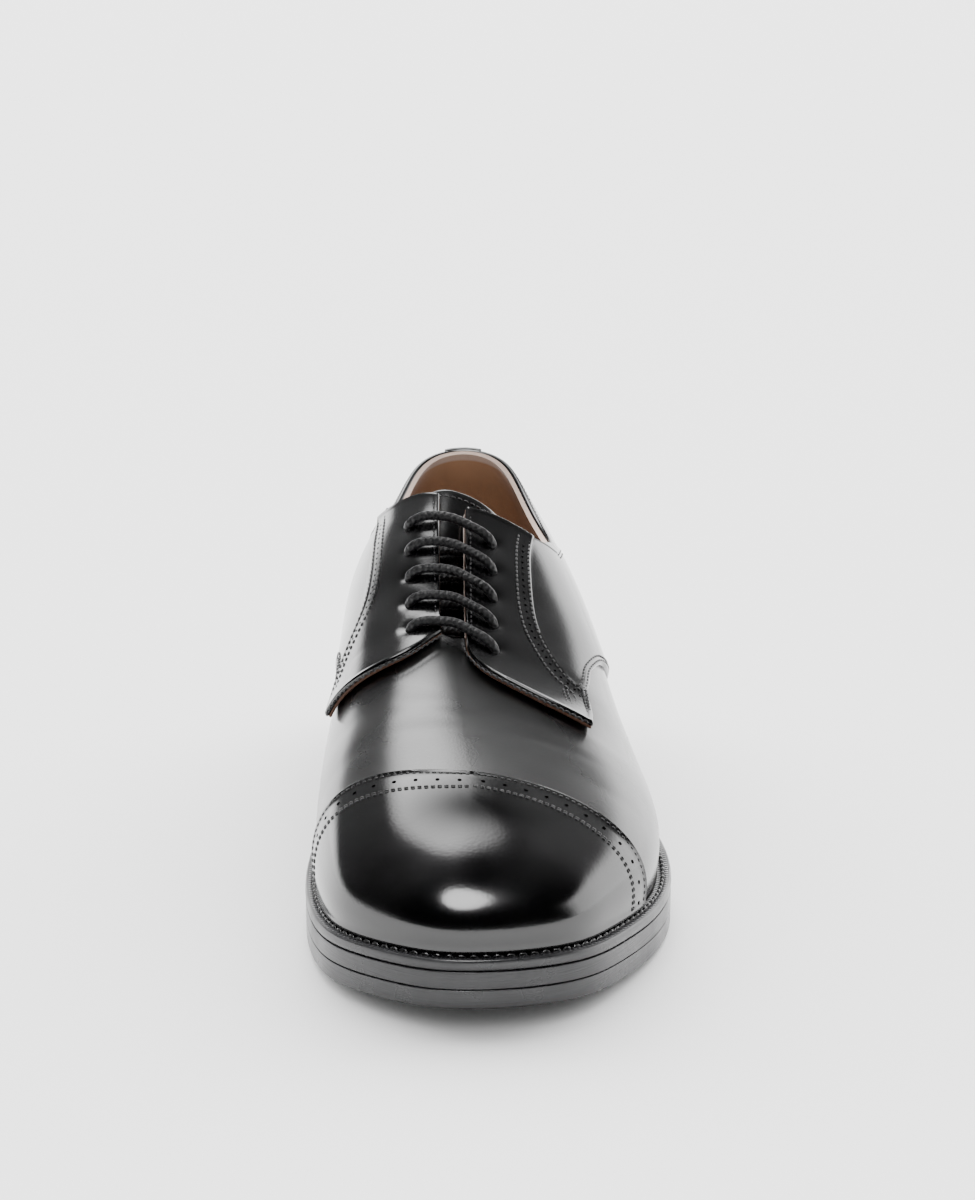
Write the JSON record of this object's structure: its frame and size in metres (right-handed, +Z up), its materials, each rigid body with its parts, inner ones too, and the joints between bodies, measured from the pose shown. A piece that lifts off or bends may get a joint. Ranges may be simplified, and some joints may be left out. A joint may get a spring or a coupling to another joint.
{
  "type": "derby shoe",
  "caption": "Left lace-up derby shoe in polished black leather with a straight punched toe cap, open lacing, leather sole and low stacked heel.",
  "frame": {"origin": "on the floor under the middle of the shoe's bounding box", "axes": "+Z up, toe towards -Y and heel towards +Y, outer side of the left foot towards +X"},
  "size_m": [0.1078, 0.3059, 0.1045],
  "materials": {
    "upper_leather": "black calf, polished to a high shine, soft fine grain",
    "outsole_leather": "black inked and polished sole edge",
    "midsole_leather": "black inked and polished sole edge",
    "welt_leather": "black waxed welt with close stitching on top",
    "heel_leather": "black inked and polished heel edge",
    "heel_rubber": "matte black rubber",
    "insole_leather": "smooth tan lining leather",
    "lace_cotton": "black waxed round braid"
  },
  "bodies": {
    "root": {"outsole": "outsole_leather", "midsole": "midsole_leather", "welt": "welt_leather", "heel_stack": "heel_leather", "heel_lift": "heel_rubber", "insole": "insole_leather", "upper": "upper_leather", "toe_cap": "upper_leather", "back_strip": "upper_leather", "tongue": "upper_leather", "quarter_inner": "upper_leather", "quarter_outer": "upper_leather", "facing_inner": "upper_leather", "facing_outer": "upper_leather", "lace_bar_1": "lace_cotton", "lace_bar_2": "lace_cotton", "lace_bar_3": "lace_cotton", "lace_bar_4": "lace_cotton", "lace_bar_5": "lace_cotton"}
  },
  "joints": []
}
